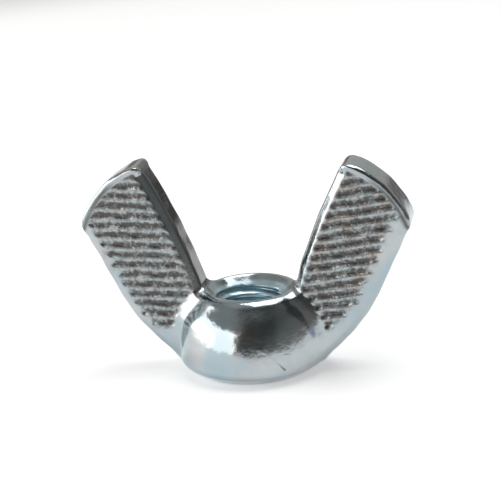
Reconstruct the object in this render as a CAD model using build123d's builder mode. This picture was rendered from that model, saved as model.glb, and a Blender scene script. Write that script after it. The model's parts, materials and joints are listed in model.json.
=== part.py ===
"""Wing nut, forged in one piece: a domed boss with a threaded bore and two ribbed upright wings.

The origin is the middle of the flat base, +Z runs up the thread and the wings lie along X.
Sizes are in millimetres and angles in degrees.
"""

import os
from math import cos, radians, sin, sqrt, tan

from build123d import *

# Thread, ISO coarse. The bore is left at the minor diameter.
thread_major = 6.0
thread_pitch = 1.0
mouth_depth = 1.1
base_mouth_depth = 0.45

# Boss
boss_height = 6.9
base_radius = 4.9
widest_radius = 6.25
widest_height = 0.95
shoulder_radius = 5.75
shoulder_height = 4.4
crest_radius = 4.3
crest_width = 0.25
rim_drop = 0.3
base_edge_round = 0.2

# Wings
wing_spread = 27.6
wing_height = 17.9
wing_thickness = 3.4
wing_edge_round = 0.75
tip_reach = 8.58
heel_height = 12.69
turn_height = 6.62
end_bow = 0.83
inner_bow = 0.37
outer_lean = 25.8
toe_depth = 0.25

# Concave blend between each wing face and the boss, as (share of boss height, radius), and how
# far its foot runs into the boss
blends = [(0.26, 0.45), (0.36, 0.75), (0.5, 0.9), (0.64, 0.9), (0.78, 0.8), (0.89, 0.6)]
blend_sink = 0.03

# Ribbed grip on each wing face
groove_count = 15
groove_pitch = 0.84
groove_first = 4.3
groove_width = 0.5
groove_depth = 0.11
groove_reach = 8.0
level_rise = 1.8
steep_rise = 8.2
field_edge = 0.7
smooth_margin = 1.0

# Sizes that follow from the driving ones
bore_radius = (thread_major - 1.0825 * thread_pitch) / 2
mouth_radius = bore_radius + mouth_depth
base_mouth_radius = bore_radius + base_mouth_depth
half_spread = wing_spread / 2
half_thickness = wing_thickness / 2
root_reach = mouth_radius + crest_width
shoulder_top = boss_height - rim_drop
turn_reach = half_spread - (heel_height - turn_height) * tan(radians(outer_lean))
toe_end = (widest_radius - toe_depth, widest_height - 0.1)
blend_turn = radians(35)
groove_radius = (groove_width**2 / 4 + groove_depth**2) / (2 * groove_depth)

# Boss, turned about the thread axis
with BuildPart() as boss:
    with BuildSketch(Plane.XZ):
        with BuildLine():
            base = Line((0, 0), (base_radius, 0))
            flare = Line(base @ 1, (widest_radius, widest_height))
            dome = Spline(
                flare @ 1,
                (shoulder_radius, shoulder_height),
                (crest_radius, shoulder_top),
                tangents=((0, 1), (-0.8, 0.6)),
            )
            crest = Line(dome @ 1, (mouth_radius + 0.2, boss_height))
            Line(crest @ 1, (0, boss_height))
            Line((0, boss_height), (0, 0))
        make_face()
    revolve(axis=Axis.Z)
    fillet(boss.edges().filter_by(GeomType.CIRCLE).group_by(Axis.Z)[0], base_edge_round)

# Outline of the +X wing, seen from the front
with BuildSketch(Plane.XZ) as outline:
    with BuildLine():
        inner = SagittaArc((root_reach, boss_height), (tip_reach, wing_height), inner_bow)
        end = SagittaArc(inner @ 1, (half_spread, heel_height), end_bow)
        outer = Line(end @ 1, (turn_reach, turn_height))
        toe = TangentArc(outer @ 1, toe_end, tangent=outer % 1)
        Polyline(toe @ 1, (root_reach, toe_end[1]), (root_reach, boss_height))
    make_face()

# The ribbed part of a wing: its outline less a rim, and less a smooth strip along the outer edge
with BuildSketch(Plane.XZ) as field:
    add(outline.sketch_local)
    offset(amount=-field_edge)
    with Locations((-smooth_margin, 0)):
        add(outline.sketch_local, mode=Mode.INTERSECT)


def groove_places(side, rise):
    """Middles of the grooves on the front of one wing, each groove climbing outwards at rise."""
    for row in range(groove_count):
        height = groove_first + row * groove_pitch
        yield Location(
            (side * groove_reach, -half_thickness + groove_depth - groove_radius, height),
            (0, 90 - side * rise, 0),
        )


def blend_section(height, size):
    """Plan of the root at a height: the wing's width, flared by hollow arcs to meet the boss."""
    low, high = 0.0, 1.0
    for _ in range(40):
        middle = (low + high) / 2
        if (dome @ middle).Y < height:
            low = middle
        else:
            high = middle
    around = (dome @ low).X - blend_sink
    centre_y = half_thickness + size
    centre_x = sqrt((around + size) ** 2 - centre_y**2)
    share = around / (around + size)
    foot = (share * centre_x, share * centre_y)
    hollow = (centre_x - size * sin(blend_turn), centre_y - size * cos(blend_turn))
    with BuildSketch(Plane.XY.offset(height)) as section:
        with BuildLine():
            ThreePointArc((centre_x, half_thickness), hollow, foot)
            Line(foot, (foot[0], -foot[1]))
            ThreePointArc((foot[0], -foot[1]), (hollow[0], -hollow[1]), (centre_x, -half_thickness))
            Line((centre_x, -half_thickness), (centre_x, half_thickness))
        make_face()
    return section.sketch


# Grooves on the front of both wings: gentle on the -X wing, steep on the +X one
with BuildPart() as grooves:
    with Locations(*groove_places(-1, level_rise), *groove_places(1, steep_rise)):
        Cylinder(groove_radius, half_spread)
    with BuildSketch(Plane.XZ):
        add(field.sketch_local)
        mirror(about=Plane.YZ)
    extrude(amount=wing_thickness, mode=Mode.INTERSECT)

# Both wings, their edges rounded before they meet the boss. Half a turn brings front to back.
with BuildPart() as wings:
    with BuildSketch(Plane.XZ):
        add(outline.sketch_local)
        mirror(about=Plane.YZ)
    extrude(amount=half_thickness, both=True)
    fillet(wings.faces().filter_by(Axis.Y).edges(), wing_edge_round)
    with PolarLocations(0, 2):
        add(grooves.part, mode=Mode.SUBTRACT)

# Hollow blends from the wing faces into the boss
with BuildPart() as root_blends:
    loft([blend_section(share * boss_height, size) for share, size in blends])
    mirror(about=Plane.YZ)

with BuildPart() as wing_nut:
    add(boss.part)
    add(wings.part)
    add(root_blends.part)
    Cylinder(
        bore_radius, boss_height, align=(Align.CENTER, Align.CENTER, Align.MIN), mode=Mode.SUBTRACT
    )
    with Locations((0, 0, boss_height - mouth_depth / 2)):
        Cone(bore_radius, mouth_radius, mouth_depth, mode=Mode.SUBTRACT)
    with Locations((0, 0, base_mouth_depth / 2)):
        Cone(base_mouth_radius, bore_radius, base_mouth_depth, mode=Mode.SUBTRACT)

wing_nut.part.label = "wing_nut"
os.makedirs("parts", exist_ok=True)
export_step(wing_nut.part, "parts/wing_nut.step")
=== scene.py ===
"""Looks of the forged, zinc-plated wing nut, built around its CAD frame.

The whole nut is one mesh: the zero level of a distance field, in millimetres, meshed on a grid.
"""

import json
import math

import bmesh
import bpy
import numpy as np
from mathutils import Matrix, Vector


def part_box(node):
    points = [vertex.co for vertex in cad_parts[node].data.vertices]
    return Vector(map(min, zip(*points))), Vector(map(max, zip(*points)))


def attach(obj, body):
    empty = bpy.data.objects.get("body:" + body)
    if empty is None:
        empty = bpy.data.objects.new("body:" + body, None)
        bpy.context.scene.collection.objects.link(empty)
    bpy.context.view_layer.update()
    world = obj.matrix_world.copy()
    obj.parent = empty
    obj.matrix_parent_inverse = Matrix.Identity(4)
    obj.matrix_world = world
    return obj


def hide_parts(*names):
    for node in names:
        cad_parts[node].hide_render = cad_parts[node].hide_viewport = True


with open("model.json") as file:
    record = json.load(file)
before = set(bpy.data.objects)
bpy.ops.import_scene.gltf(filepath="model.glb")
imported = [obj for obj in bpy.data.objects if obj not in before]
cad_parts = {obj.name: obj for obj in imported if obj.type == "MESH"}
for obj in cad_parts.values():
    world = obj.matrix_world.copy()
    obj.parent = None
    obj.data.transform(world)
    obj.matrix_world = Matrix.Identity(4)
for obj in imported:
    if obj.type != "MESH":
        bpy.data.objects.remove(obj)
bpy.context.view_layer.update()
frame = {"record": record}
MM = 1000.0

# ---------------------------------------------------------------- sizes, in millimetres

low, high = (Vector(corner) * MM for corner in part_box("wing_nut"))
mount = {m["name"]: m for m in frame["record"]["mounts"]}

half_spread = (high.x - low.x) / 2
wing_height = high.z - low.z
widest_radius = (high.y - low.y) / 2

boss_height = 6.9
base_radius = 4.9
widest_height = 0.95
shoulder = (5.75, 4.4)
crest_radius = 4.3
rim_drop = 0.3
base_edge_round = 0.22
flare_round = 0.45

minor_radius = mount["thread"]["dims"]["r_mm"]
pitch = 1.0
major_radius = minor_radius + 1.0825 * pitch / 2
mouth_depth = 1.1
base_mouth_depth = 0.45
mouth_ease = 0.12

half_thickness = 1.7
inner_bevel = 0.62
outer_round = 0.77
end_round = 0.3
edge_ease = 0.16
crest_width = 0.25
toe_depth = 0.25
outer_lean = 25.8
root_reach = minor_radius + mouth_depth + crest_width
tip = (8.58, wing_height)
heel = (half_spread, 12.69)
turn_height = 6.62
turn = (half_spread - (heel[1] - turn_height) * math.tan(math.radians(outer_lean)), turn_height)
toe = (widest_radius - toe_depth, widest_height - 0.1)
inner_bow = 0.37
end_bow = 0.83
tip_round = 0.85
heel_round = 0.55

groove_pitch = 0.84
groove_first = 4.3
groove_depth = 0.15
groove_reach = 8.0
level_rise = math.tan(math.radians(1.8))
steep_rise = math.tan(math.radians(8.2))
steep_margin = 1.2
level_margin = 0.65
edge_wobble = 0.032
face_wobble = 0.008

# The raised lip round each tip and the hollow line inside each end, by their distance from the end
lip_height = 0.09
lip_place = 0.3
lip_width = 0.17
cove_depth = 0.035
cove_place = 0.44
cove_width = 0.19

# Distances over which one treatment of a wing's edge gives way to the next
tip_zone = (1.9, 3.6)
inner_zone = (1.0, 2.4)

cell = 0.123
weld_gap = 0.015


# ---------------------------------------------------------------- outlines

def arc(a, b, bow, count=40):
    """Points from a to b on an arc that stands bow to the left of the way from a to b."""
    a, b = np.array(a, float), np.array(b, float)
    chord = b - a
    length = np.hypot(*chord)
    left = np.array((-chord[1], chord[0])) / length
    radius = (length**2 / 4 + bow**2) / (2 * bow)
    centre = (a + b) / 2 + left * (bow - radius)
    start = math.atan2(*(a - centre)[::-1])
    sweep = -2 * math.asin(length / (2 * radius))
    angles = start + sweep * np.linspace(0, 1, count)
    return centre + radius * np.stack((np.cos(angles), np.sin(angles)), 1)


def cubic(a, b, slope_a, slope_b, count=40):
    """Points from a to b that leave along slope_a and arrive along slope_b."""
    a, b, da, db = (np.array(v, float) for v in (a, b, slope_a, slope_b))
    t = np.linspace(0, 1, count)[:, None]
    return (
        a * (1 - t) ** 3
        + (a + da) * 3 * t * (1 - t) ** 2
        + (b - db) * 3 * t**2 * (1 - t)
        + b * t**3
    )


def round_corner(before, corner, after, size, count=9):
    """Points that cut a corner off by about size on each side, with a smooth curve."""
    corner = np.array(corner, float)
    a, b = (np.array(p, float) - corner for p in (before, after))
    a, b = (corner + v / np.hypot(*v) * size for v in (a, b))
    t = np.linspace(0, 1, count)[:, None]
    return a * (1 - t) ** 2 + corner * 2 * t * (1 - t) + b * t**2


def boss_profile():
    """Half section of the boss: reach from the axis, and height."""
    wide = (widest_radius, widest_height)
    crest = (crest_radius + 0.14, boss_height - rim_drop - 0.25)
    rim = (minor_radius + mouth_depth, boss_height)
    dome_low = cubic(wide, shoulder, (0, 1.3), (-0.35, 1.2), 30)
    dome_high = cubic(shoulder, crest, (-0.24, 0.82), (-0.42, 0.56), 30)
    crown = cubic(crest, rim, (-0.25, 0.33), (-0.33, 0.08), 16)
    return np.concatenate((
        [(0, 0)],
        round_corner((0, 0), (base_radius, 0), wide, base_edge_round),
        round_corner((base_radius, 0), wide, (widest_radius, 2), flare_round),
        [p for p in dome_low if p[1] > widest_height + 0.5],
        dome_high[1:],
        crown[1:],
        [(0, boss_height)],
    ))


def wing_outline():
    """Outline of the +X wing seen from the front, running on inside the boss."""
    inner = arc((root_reach, boss_height), tip, inner_bow)
    end = arc(tip, heel, end_bow)
    outer = np.linspace(heel, turn, 12)
    lean = np.array(turn) - np.array(heel)
    lean = lean / np.hypot(*lean) * 2.6
    foot = cubic(turn, toe, lean, (-1.9, -1.6), 30)
    return np.concatenate((
        [(root_reach - 0.9, toe[1]), (root_reach - 0.9, boss_height - 0.6)],
        [p for p in inner if p[1] < tip[1] - 0.8],
        round_corner(inner[-8], tip, end[8], tip_round),
        [p for p in end if tip[0] + 0.8 < p[0] and p[1] > heel[1] + 0.5],
        round_corner(end[-5], heel, turn, heel_round),
        [p for p in outer if p[1] < heel[1] - 0.6],
        foot[1:],
    ))


def signed_distance(points, u, v):
    """Distance from each (u, v) to a closed outline, negative inside it."""
    best = np.full(u.shape, 1e9)
    inside = np.zeros(u.shape, bool)
    for (u0, v0), (u1, v1) in zip(points, np.roll(points, -1, axis=0)):
        du, dv = u1 - u0, v1 - v0
        if du == 0 and dv == 0:
            continue
        t = np.clip(((u - u0) * du + (v - v0) * dv) / (du * du + dv * dv), 0, 1)
        best = np.minimum(best, (u - u0 - t * du) ** 2 + (v - v0 - t * dv) ** 2)
        if dv:
            crosses = (v0 > v) != (v1 > v)
            inside ^= crosses & (u < u0 + (v - v0) * du / dv)
    return np.where(inside, -1, 1) * np.sqrt(best)


def smooth(low_edge, high_edge, value):
    """0 below the low edge, 1 above the high edge, and a smooth step between."""
    t = np.clip((value - low_edge) / (high_edge - low_edge), 0, 1)
    return t * t * (3 - 2 * t)


boss_points = boss_profile()
wing_points = wing_outline()
end_points = arc(tip, heel, end_bow)
inner_points = arc((root_reach, boss_height), tip, inner_bow, 16)
outer_points = np.concatenate(([heel], cubic(turn, toe, (-1.15, -2.3), (-1.9, -1.6), 12)))


def line_distance(points, u, v):
    """Distance from each (u, v) to an open line."""
    best = np.full(u.shape, 1e9)
    for (u0, v0), (u1, v1) in zip(points[:-1], points[1:]):
        du, dv = u1 - u0, v1 - v0
        t = np.clip(((u - u0) * du + (v - v0) * dv) / (du * du + dv * dv), 0, 1)
        best = np.minimum(best, (u - u0 - t * du) ** 2 + (v - v0 - t * dv) ** 2)
    return np.sqrt(best)


# ---------------------------------------------------------------- distance field

def wobble(u, v, length, seed):
    """A gentle unevenness between about -1 and 1, with bumps about that length across."""
    total = np.zeros(np.shape(u))
    for k in range(5):
        turn_by = 2.4 * k + seed
        wave = 2 * math.pi / (length * (0.75 + 0.17 * k))
        total = total + np.sin(wave * (u * math.cos(turn_by) + v * math.sin(turn_by)) + 1.7 * turn_by)
    return total / 2.6


def wing_plan(x, z):
    """What a wing is like at each place seen from the front, apart from its grooves."""
    reach = np.abs(x)
    outline = signed_distance(wing_points, reach, z) + edge_wobble * wobble(x, z, 2.2, 0.4)
    to_end = line_distance(end_points, reach, z)
    to_outer = line_distance(outer_points, reach, z)
    to_inner = line_distance(inner_points, reach, z)
    to_boss = signed_distance(boss_points, np.hypot(x, half_thickness), z)
    near_tip = smooth(*tip_zone[::-1], np.hypot(reach - tip[0], z - tip[1]))
    lip = lip_height * near_tip * np.exp(-(((to_end - lip_place) / lip_width) ** 2))
    cove = np.exp(-(((to_end - cove_place) / cove_width) ** 2))
    rounder = (outer_round - end_round) * smooth(0.35, 1.3, to_end) * smooth(*inner_zone, to_inner)
    return {
        "outline": outline,
        "rounding": end_round + rounder,
        "bevel": inner_bevel * smooth(*inner_zone[::-1], to_inner) * smooth(0.3, 1.1, to_end),
        "relief": lip - cove_depth * cove + face_wobble * wobble(x, z, 1.7, 2.1),
        "cove": cove * (1 - 0.9 * near_tip),
        "to_boss": to_boss,
        "to_end": to_end,
        "to_outer": to_outer,
        "to_inner": to_inner,
    }


def grip(x, z, plan, side):
    """Depth share of the grooves, how strongly painted shade is laid in them, and where the grip is, each
    0 to 1.

    side is 1 at the back and -1 at the front.
    """
    steep = (np.sign(x) * side) < 0
    reach = np.abs(x)
    rise = np.where(steep, steep_rise, level_rise)
    row = (z - (reach - groove_reach) * rise - groove_first) / groove_pitch
    row = row + 0.05 * wobble(x, z, 2.6, 5.0 + side)
    margin = np.where(steep, steep_margin, level_margin) + 0.18 * wobble(x, z, 0.9, 1.3)
    field = smooth(0.55, 0.72, plan["to_end"]) * smooth(margin - 0.2, margin + 0.7, plan["to_outer"])
    field = field * smooth(inner_bevel - 0.15, inner_bevel + 0.05, plan["to_inner"])
    field = field * smooth(0.55, 0.9, plan["to_boss"])
    field = field * smooth(-0.85, -0.55, row)
    wave = 0.5 + 0.5 * np.cos(2 * math.pi * row)
    wave = np.clip(wave * (0.88 + 0.14 * wobble(x, z, 1.3, 3.0 + side)), 0, 1.1) * field
    run_out = smooth(0.3, 1.3, plan["to_inner"])
    return {"depth": wave * run_out, "groove": wave, "grip": field}


def round_union(a, b, size):
    """Union of two fields with a hollow blend of that radius."""
    return np.maximum(size, np.minimum(a, b)) - np.hypot(
        np.maximum(size - a, 0), np.maximum(size - b, 0)
    )


def soft_max(a, b, size):
    """The larger of two fields, with the edge between them eased."""
    near = np.maximum(size - np.abs(a - b), 0) / size
    return np.maximum(a, b) + near * near * size / 4


def round_cut(a, hole, size):
    """Field a less a hole, with the edge between them rounded."""
    return np.minimum(-size, np.maximum(a, -hole)) + np.hypot(
        np.maximum(size + a, 0), np.maximum(size - hole, 0)
    )


def thread_hole(x, y, z):
    """Field of the space inside the bore: a right-hand thread with a wide mouth at each end."""
    r = np.hypot(x, y)
    turn_share = np.arctan2(y, x) / (2 * math.pi)
    along = np.abs(((z / pitch - turn_share) % 1.0) - 0.5) * pitch
    flank = pitch / 16 + (major_radius - r) / math.sqrt(3)
    groove = np.maximum(r - major_radius, (along - flank) * math.cos(math.radians(30)))
    wall = np.minimum(r - minor_radius, groove)
    top = (r - minor_radius - (z - boss_height + mouth_depth)) / math.sqrt(2)
    top = np.maximum(top, r - minor_radius - mouth_depth - 0.2)
    bottom = (r - minor_radius - (base_mouth_depth - z)) / math.sqrt(2)
    return np.minimum(wall, np.minimum(top, bottom))


def body(x, y, z, boss, plan, depth):
    """Field of the whole nut."""
    rounding = plan["rounding"]
    thickness = half_thickness + plan["relief"] - groove_depth * depth
    a = plan["outline"] + rounding
    b = np.abs(y) - thickness + rounding
    wing = np.minimum(np.maximum(a, b), 0) + np.hypot(np.maximum(a, 0), np.maximum(b, 0)) - rounding
    slant = (plan["outline"] + np.abs(y) - thickness + plan["bevel"]) / math.sqrt(2)
    wing = soft_max(wing, slant, edge_ease)
    blend = 0.35 + 0.6 * smooth(0.6, 2.2, z) * smooth(8.2, 6.4, z)
    nut = round_union(boss, wing, blend)
    return round_cut(nut, thread_hole(x, y, z), mouth_ease)


def body_at(points):
    """The field at scattered points."""
    x, y, z = points.T
    plan = wing_plan(x, z)
    depth = np.where(y > 0, grip(x, z, plan, 1)["depth"], grip(x, z, plan, -1)["depth"])
    boss = signed_distance(boss_points, np.hypot(x, y), z)
    return body(x, y, z, boss, plan, depth)


# ---------------------------------------------------------------- meshing

def grid_axis(start, stop):
    """Grid places from start to stop, with a little room at both ends."""
    return np.arange(start - 2.3 * cell, stop + 2.3 * cell, cell)


def field_on_grid(xs, ys, zs):
    """The field on every grid point, a slab of constant y at a time."""
    x2, z2 = np.meshgrid(xs, zs, indexing="ij")
    plan = wing_plan(x2, z2)
    fronts = {side: grip(x2, z2, plan, side)["depth"] for side in (-1, 1)}
    reaches = np.linspace(0, half_spread + 1, 700)
    r2, h2 = np.meshgrid(reaches, zs, indexing="ij")
    table = signed_distance(boss_points, r2, h2)
    field = np.empty((len(xs), len(ys), len(zs)), np.float32)
    for j, y in enumerate(ys):
        r = np.hypot(xs, y)
        place = np.clip(r / reaches[1], 0, len(reaches) - 1.001)
        i = place.astype(int)
        share = (place - i)[:, None]
        boss = table[i] * (1 - share) + table[i + 1] * share
        field[:, j] = body(x2, y, z2, boss, plan, fronts[1 if y > 0 else -1])
    return field


def surface_net(field, axes):
    """Vertices and quads of the field's zero level: one vertex in each cell it passes through."""
    solid = field < 0
    nx, ny, nz = (n - 1 for n in field.shape)
    corners = [
        np.s_[i : i + nx, j : j + ny, k : k + nz] for i in (0, 1) for j in (0, 1) for k in (0, 1)
    ]
    count = sum(solid[c].astype(np.int8) for c in corners)
    cells = np.argwhere((count > 0) & (count < 8))
    index = np.full((nx, ny, nz), -1, np.int64)
    index[tuple(cells.T)] = np.arange(len(cells))

    total = np.zeros((len(cells), 3))
    hits = np.zeros(len(cells))
    ends = [np.array(axis) for axis in axes]
    for axis in range(3):
        others = [k for k in range(3) if k != axis]
        for first in (0, 1):
            for second in (0, 1):
                a = cells.copy()
                a[:, others[0]] += first
                a[:, others[1]] += second
                b = a.copy()
                b[:, axis] += 1
                fa, fb = field[tuple(a.T)], field[tuple(b.T)]
                crossed = (fa < 0) != (fb < 0)
                share = np.where(crossed, fa / np.where(crossed, fa - fb, 1), 0)
                point = np.stack([ends[k][a[:, k]] for k in range(3)], 1)
                point[:, axis] += share * (ends[axis][b[:, axis]] - ends[axis][a[:, axis]])
                total += point * crossed[:, None]
                hits += crossed
    vertices = total / hits[:, None]

    quads = []
    for axis in range(3):
        u, v = [(1, 2), (2, 0), (0, 1)][axis]
        here = [slice(None)] * 3
        there = [slice(None)] * 3
        here[axis], there[axis] = slice(0, -1), slice(1, None)
        a, b = solid[tuple(here)], solid[tuple(there)]
        edges = np.argwhere(a != b)
        leaving = a[tuple(edges.T)]
        around = []
        for du, dv in ((-1, -1), (0, -1), (0, 0), (-1, 0)):
            c = edges.copy()
            c[:, u] += du
            c[:, v] += dv
            around.append(index[tuple(c.T)])
        faces = np.stack(around, 1)
        faces[~leaving] = faces[~leaving][:, ::-1]
        quads.append(faces)
    return vertices, np.concatenate(quads)


def onto_surface(points, rounds):
    """Moves points down the field's slope onto its zero level."""
    step = 0.004
    for _ in range(rounds):
        value = body_at(points)
        slope = np.stack(
            [(body_at(points + step * axis) - value) / step for axis in np.eye(3)], 1
        )
        steep = np.maximum((slope**2).sum(1), 0.2)
        move = slope * (value / steep)[:, None]
        points = points - np.clip(move, -cell, cell)
    return points


def even_out(points, quads, share):
    """Moves each vertex part of the way to the middle of its faces."""
    middles = points[quads].mean(1)
    total = np.zeros_like(points)
    hits = np.zeros(len(points))
    for k in range(4):
        np.add.at(total, quads[:, k], middles)
        np.add.at(hits, quads[:, k], 1)
    return points + share * (total / hits[:, None] - points)


def nut_mesh():
    """Vertices and quads of the nut, evened out and laid on the field's zero level."""
    axes = [
        grid_axis(-half_spread, half_spread),
        grid_axis(-widest_radius, widest_radius),
        grid_axis(0, wing_height),
    ]
    vertices, quads = surface_net(field_on_grid(*axes), axes)
    for _ in range(2):
        vertices = onto_surface(even_out(vertices, quads, 0.5), 1)
    vertices = onto_surface(vertices, 1)
    vertices[:, 2] = np.maximum(vertices[:, 2], 0)
    return vertices, quads


def weld_close(mesh, gap):
    """Joins vertices closer than gap, which clears the net's pinched edges."""
    work = bmesh.new()
    work.from_mesh(mesh)
    bmesh.ops.remove_doubles(work, verts=work.verts, dist=gap)
    work.to_mesh(mesh)
    work.free()


def add_nut():
    """The nut as one object, with the point values that its material reads."""
    vertices, quads = nut_mesh()
    mesh = bpy.data.meshes.new("wing_nut_surface")
    mesh.from_pydata((vertices / MM).tolist(), [], quads.tolist())
    weld_close(mesh, weld_gap / MM)
    mesh.polygons.foreach_set("use_smooth", np.ones(len(mesh.polygons), bool))
    places = np.empty(3 * len(mesh.vertices))
    mesh.vertices.foreach_get("co", places)
    x, y, z = places.reshape(-1, 3).T * MM
    plan = wing_plan(x, z)
    sides = [grip(x, z, plan, side) for side in (-1, 1)]
    on_face = smooth(half_thickness - 0.75, half_thickness - 0.4, np.abs(y))
    layers = {name: np.where(y > 0, sides[1][name], sides[0][name]) for name in ("groove", "grip")}
    # Where the hollow line inside each end gets its painted shade
    layers["cove"] = plan["cove"] * smooth(0.2, 0.8, plan["to_boss"])
    layers = {name: value * on_face for name, value in layers.items()}
    # Inside the bore: rougher, and given painted light
    layers["bore"] = smooth(minor_radius + 0.75, minor_radius + 0.55, np.hypot(x, y))
    edge_face = smooth(half_thickness - 0.3, half_thickness - 0.7, np.abs(y))
    # Painted shade: where the flat inner edge faces of the wings are darkened
    layers["sheared"] = smooth(0.3, 0.12, plan["to_inner"]) * edge_face
    for name, value in layers.items():
        layer = mesh.attributes.new(name, "FLOAT", "POINT")
        layer.data.foreach_set("value", value.astype(np.float32))
    mesh.update()
    nut = bpy.data.objects.new("wing_nut_surface", mesh)
    bpy.context.scene.collection.objects.link(nut)
    return nut


nut = add_nut()
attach(nut, "root")
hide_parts("wing_nut")


# ---------------------------------------------------------------- material

class Graph:
    """The nodes of one material or world. Values may be numbers, colours or other nodes' outputs."""

    def __init__(self, tree):
        self.tree = tree

    def node(self, kind, inputs, output=0, **settings):
        made = self.tree.nodes.new("ShaderNode" + kind)
        for name, value in settings.items():
            setattr(made, name, value)
        for name, value in inputs.items():
            if isinstance(value, bpy.types.NodeSocket):
                self.tree.links.new(value, made.inputs[name])
            else:
                made.inputs[name].default_value = value
        return made.outputs[output]

    def math(self, operation, a, b=0.0):
        return self.node("Math", {0: a, 1: b}, operation=operation)

    def step(self, value, start, stop, low_value=0.0, high_value=1.0):
        """A smooth climb from low_value to high_value as the value goes from start to stop."""
        ends = {"From Min": start, "From Max": stop, "To Min": low_value, "To Max": high_value}
        return self.node("MapRange", {"Value": value, **ends}, interpolation_type="SMOOTHSTEP")

    def noise(self, place, size, detail=2.0, rough=0.5):
        """Noise about 0.5, with blots about size millimetres across."""
        return self.node(
            "TexNoise", {"Vector": place, "Scale": 0.5 * MM / size, "Detail": detail, "Roughness": rough}
        )

    def blend(self, share, a, b):
        """Colour a where the share is 0 and colour b where it is 1."""
        return self.node(
            "Mix", {"Factor": share, "A": a, "B": b}, "Result", data_type="RGBA", clamp_factor=True
        )

    def mark(self, place, start, stop, width):
        """1 on a thin line between two points in millimetres, fading out over its width."""
        start, stop = Vector(start) / MM, Vector(stop) / MM
        along = stop - start
        off = self.node("VectorMath", {0: place, 1: start}, operation="SUBTRACT")
        per_length = along / along.length_squared
        share = self.node("VectorMath", {0: off, 1: per_length}, "Value", operation="DOT_PRODUCT")
        share = self.node("Clamp", {"Value": share})
        foot = self.node("VectorMath", {0: along, "Scale": share}, operation="SCALE")
        gap = self.node("VectorMath", {0: off, 1: foot}, operation="SUBTRACT")
        gap = self.node("VectorMath", {0: gap}, "Value", operation="LENGTH")
        return self.step(gap, 0.0, width / MM, 1.0, 0.0)

    def layer(self, name):
        """A value that the mesh holds at each point."""
        return self.node("Attribute", {}, "Fac", attribute_name=name)


def new_material(name):
    """A new material, its graph and its surface node."""
    made = bpy.data.materials.new(name)
    made.use_nodes = True
    return made, Graph(made.node_tree), made.node_tree.nodes["Principled BSDF"]


blue_zinc = (0.35, 0.435, 0.475, 1)
pale_zinc = (0.45, 0.505, 0.53, 1)
grey_zinc = (0.4, 0.42, 0.43, 1)
warm_zinc = (0.5, 0.47, 0.455, 1)
clean_ridge = (0.37, 0.415, 0.43, 1)
brown_ridge = (0.38, 0.33, 0.29, 1)
# Painted shade for the grooves of the grip, with dirt specks mixed in
groove_shade_and_dirt = (0.095, 0.092, 0.093, 1)
# Painted shade for the hollow line inside each end
cove_shade_colour = (0.1, 0.1, 0.1, 1)
# Painted shade for the flat inner edge faces of the wings
inner_edge_shade_colour = (0.14, 0.14, 0.135, 1)
scratch_dirt = (0.12, 0.115, 0.11, 1)
blue_stain = (0.1, 0.12, 0.32, 1)
# Painted light for the inside of the bore, pale and bluish
bore_painted_light = (0.52, 0.68, 0.75, 1)

brown_reach = 9.0
scratch_ends = ((1.75, -5.72, 3.5), (3.5, -5.17, 1.48))
scratch_width = 0.15
spot_ends = ((5.45, -2.45, 3.75), (5.5, -2.4, 3.5))
spot_width = 0.42
bump_depth = 0.003


def plating_colour(graph, place, noises):
    """Cloudy plating, bluish and paler, with grey blots and a warm bloom."""
    colour = graph.blend(graph.step(noises["cloud"], 0.38, 0.62), blue_zinc, pale_zinc)
    colour = graph.blend(graph.step(noises["blot"], 0.5, 0.7, 0.0, 0.6), colour, grey_zinc)
    bloom = graph.step(graph.noise(place, 1.4, 3.0), 0.45, 0.7, 0.0, 0.4)
    return graph.blend(bloom, colour, warm_zinc)


def grip_colour(graph, place, noises, groove):
    """Painted shade along the grooves, broken up by dirt specks and blots, and ridges that turn browner
    towards +X.
    """
    speck, blot = noises["speck"], noises["blot"]
    # Painted shade: dark colour laid along the grooves, broken up by dirt specks and blots
    shade_and_specks = graph.math("ADD", graph.math("MULTIPLY", groove, 0.85), graph.math("MULTIPLY", speck, 2.0))
    shade_and_specks = graph.math("ADD", shade_and_specks, graph.math("MULTIPLY", blot, 0.35))
    shade_and_specks = graph.step(shade_and_specks, 1.02, 1.98)
    across = graph.node("SeparateXYZ", {0: place}, "X")
    tint = graph.step(graph.noise(place, 0.6, 2.0), 0.42, 0.65, 0.0, 0.7)
    tint = graph.math("MULTIPLY", tint, graph.step(across, 0.0, brown_reach / MM, 0.35, 1.0))
    return graph.blend(shade_and_specks, graph.blend(tint, clean_ridge, brown_ridge), groove_shade_and_dirt)


def marked_colour(graph, place, noises, colour):
    """The colour with the scratch on the front of the boss and the stain by the right blend."""
    scratch = graph.mark(place, *scratch_ends, scratch_width)
    scratch = graph.math("MULTIPLY", scratch, graph.step(noises["speck"], 0.35, 0.5, 0.6, 0.95))
    colour = graph.blend(scratch, colour, scratch_dirt)
    spot = graph.math("MULTIPLY", graph.mark(place, *spot_ends, spot_width), 0.7)
    return graph.blend(spot, colour, blue_stain)


def plating_bump(graph, place, noises, field):
    """Swells and ripples of the forged skin, fine grain, and roughness within the grip."""
    swell = graph.noise(place, 0.9, 1.0)
    ripple = graph.noise(place, 0.32, 2.0)
    grain = graph.noise(place, 0.09, 2.0, 0.6)
    height = graph.math("ADD", graph.math("MULTIPLY", swell, 15.0), graph.math("MULTIPLY", grain, 1.1))
    height = graph.math("ADD", height, graph.math("MULTIPLY", ripple, 7.0))
    rough_grip = graph.math("MULTIPLY", graph.math("MULTIPLY", noises["speck"], field), 6.0)
    height = graph.math("ADD", height, rough_grip)
    return graph.node("Bump", {"Height": height, "Distance": bump_depth / MM, "Strength": 1.0}, "Normal")


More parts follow.
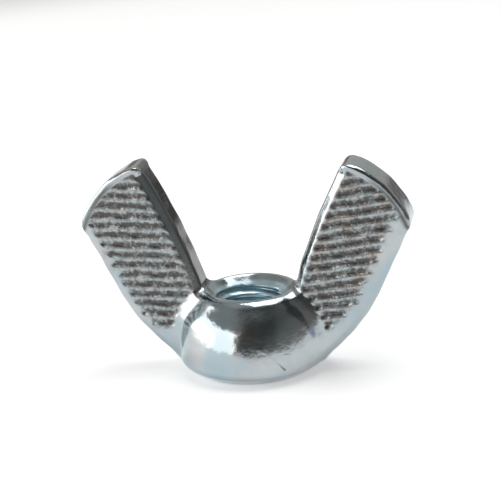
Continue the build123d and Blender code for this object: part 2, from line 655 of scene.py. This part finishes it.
def zinc_plate():
    """Bright bluish zinc on a forged skin, duller between the ribs of the grip, with painted shade and
    dirt specks there, painted shade on the inner edge faces and in the hollow inside each end, and
    painted light in the bore.
    """
    made, graph, surface = new_material("zinc plate")
    place = graph.node("TexCoord", {}, "Object")
    names = ("groove", "grip", "cove", "sheared", "bore")
    groove, field, cove, sheared, bore = (graph.layer(name) for name in names)
    noises = {
        "cloud": graph.noise(place, 3.0, 3.0),
        "blot": graph.noise(place, 0.9, 2.0),
        "speck": graph.noise(place, 0.15, 3.0, 0.6),
    }

    colour = plating_colour(graph, place, noises)
    colour = graph.blend(field, colour, grip_colour(graph, place, noises, groove))
    # Painted shade in the hollow line inside each end, mottled by the blots
    cove_shade = graph.math("MULTIPLY", cove, graph.step(noises["blot"], 0.3, 0.6, 0.75, 1.0))
    colour = graph.blend(cove_shade, colour, cove_shade_colour)
    # Painted shade on the flat inner edge faces of the wings
    colour = graph.blend(graph.math("MULTIPLY", sheared, 0.85), colour, inner_edge_shade_colour)
    colour = marked_colour(graph, place, noises, colour)
    # Painted light inside the bore, pale and bluish
    colour = graph.blend(bore, colour, bore_painted_light)
    graph.tree.links.new(colour, surface.inputs["Base Color"])

    rough = graph.step(noises["cloud"], 0.35, 0.65, 0.13, 0.19)
    rough_dirt = graph.math("MULTIPLY", field, graph.step(noises["speck"], 0.35, 0.65, 0.08, 0.3))
    rough = graph.math("ADD", rough, rough_dirt)
    rough = graph.math("ADD", rough, graph.math("MULTIPLY", bore, 0.12))
    graph.tree.links.new(rough, surface.inputs["Roughness"])

    bump = plating_bump(graph, place, noises, field)
    graph.tree.links.new(bump, surface.inputs["Normal"])
    surface.inputs["Metallic"].default_value = 1.0
    return made


glow_centre = (0.0, 80.0, 0.0)
glow_fade = (125.0, 185.0)
glow_strength = 0.36


def lit_floor():
    """A pale table, lit from within near the nut and fading out further off."""
    made, graph, surface = new_material("pale floor")
    place = graph.node("TexCoord", {}, "Object")
    centre = Vector(glow_centre) / MM
    off = graph.node("VectorMath", {0: place, 1: centre}, "Vector", operation="SUBTRACT")
    away = graph.node("VectorMath", {0: off}, "Value", operation="LENGTH")
    glow = graph.step(away, glow_fade[0] / MM, glow_fade[1] / MM, glow_strength, 0.0)
    surface.inputs["Base Color"].default_value = (0.9, 0.92, 0.94, 1)
    surface.inputs["Roughness"].default_value = 0.9
    surface.inputs["Emission Color"].default_value = (1, 1, 1, 1)
    graph.tree.links.new(glow, surface.inputs["Emission Strength"])
    return made


nut.data.materials.append(zinc_plate())

# ---------------------------------------------------------------- stage, light and camera

bpy.ops.mesh.primitive_plane_add(size=6.0, location=(0, 0, 0))
floor = bpy.context.object
floor.name = "floor"
floor.data.materials.append(lit_floor())


def softbox(name, azimuth, elevation, distance, width, height, watts, colour=(1, 1, 1)):
    """A rectangular light that faces the nut. Azimuth 0 is in front, positive to the right."""
    a, e = math.radians(azimuth), math.radians(elevation)
    way = Vector((math.sin(a) * math.cos(e), -math.cos(a) * math.cos(e), math.sin(e)))
    data = bpy.data.lights.new(name, "AREA")
    data.shape = "RECTANGLE"
    data.size, data.size_y = width / MM, height / MM
    data.energy = watts
    data.color = colour
    lamp = bpy.data.objects.new(name, data)
    bpy.context.scene.collection.objects.link(lamp)
    lamp.location = (Vector((0, 0, 8)) + way * distance) / MM
    lamp.rotation_mode = "QUATERNION"
    lamp.rotation_quaternion = way.to_track_quat("Z", "Y")


softbox("overhead", 130, 73, 300, 185, 225, 0.45)
softbox("left panel", -66, 17, 300, 620, 210, 0.92, (1, 0.95, 0.91))


def studio_world():
    """A dim room, paler overhead, at the left, low on the left, at the right and behind the nut."""
    world = bpy.data.worlds.new("studio")
    world.use_nodes = True
    sky = Graph(world.node_tree)
    direction = sky.node("TexCoord", {}, "Generated")
    rightward, depthwise, upward = (
        sky.node("SeparateXYZ", {0: direction}, axis) for axis in "XYZ"
    )
    overhead = sky.step(upward, 0.8, 1.0, 0.06, 0.3)
    left = sky.math("MULTIPLY", sky.step(rightward, -0.5, 0.05, 0.3, 0.0), sky.step(upward, 0.35, 0.7))
    low_left = sky.step(upward, 0.3, 0.6, 1.0, 0.0)
    low_left = sky.math("MULTIPLY", sky.step(rightward, -0.95, -0.75, 0.7, 0.0), low_left)
    right = sky.step(rightward, 0.45, 0.95, 0.0, 0.13)
    behind = sky.math("MULTIPLY", sky.step(depthwise, 0.2, 0.8), sky.step(upward, 0.03, 0.22, 0.04, 0.48))
    strength = overhead
    for part in (low_left, left, right, behind):
        strength = sky.math("ADD", strength, part)
    background = world.node_tree.nodes["Background"]
    background.inputs["Color"].default_value = (1.0, 0.97, 0.92, 1)
    world.node_tree.links.new(strength, background.inputs["Strength"])
    return world


bpy.context.scene.world = studio_world()

view_azimuth = 12.3
view_elevation = 17.0
view_roll = 3.9
view_distance = 140.6
view_lens = 122.4
view_aim = Vector((0.16, 0, 10.05))


def add_camera():
    """A camera at the photograph's angle, turned by the roll about its line of sight."""
    a, e = math.radians(view_azimuth), math.radians(view_elevation)
    back = Vector((math.sin(a) * math.cos(e), -math.cos(a) * math.cos(e), math.sin(e)))
    data = bpy.data.cameras.new("camera")
    data.lens = view_lens
    data.sensor_width = 36
    data.clip_start, data.clip_end = 0.01, 10
    camera = bpy.data.objects.new("camera", data)
    bpy.context.scene.collection.objects.link(camera)
    turn_in_view = Matrix.Rotation(math.radians(-view_roll), 4, "Z")
    pose = back.to_track_quat("Z", "Y").to_matrix().to_4x4() @ turn_in_view
    camera.matrix_world = Matrix.Translation((view_aim + back * view_distance) / MM) @ pose
    return camera


bpy.context.scene.camera = add_camera()
bpy.context.scene.view_settings.view_transform = "Standard"
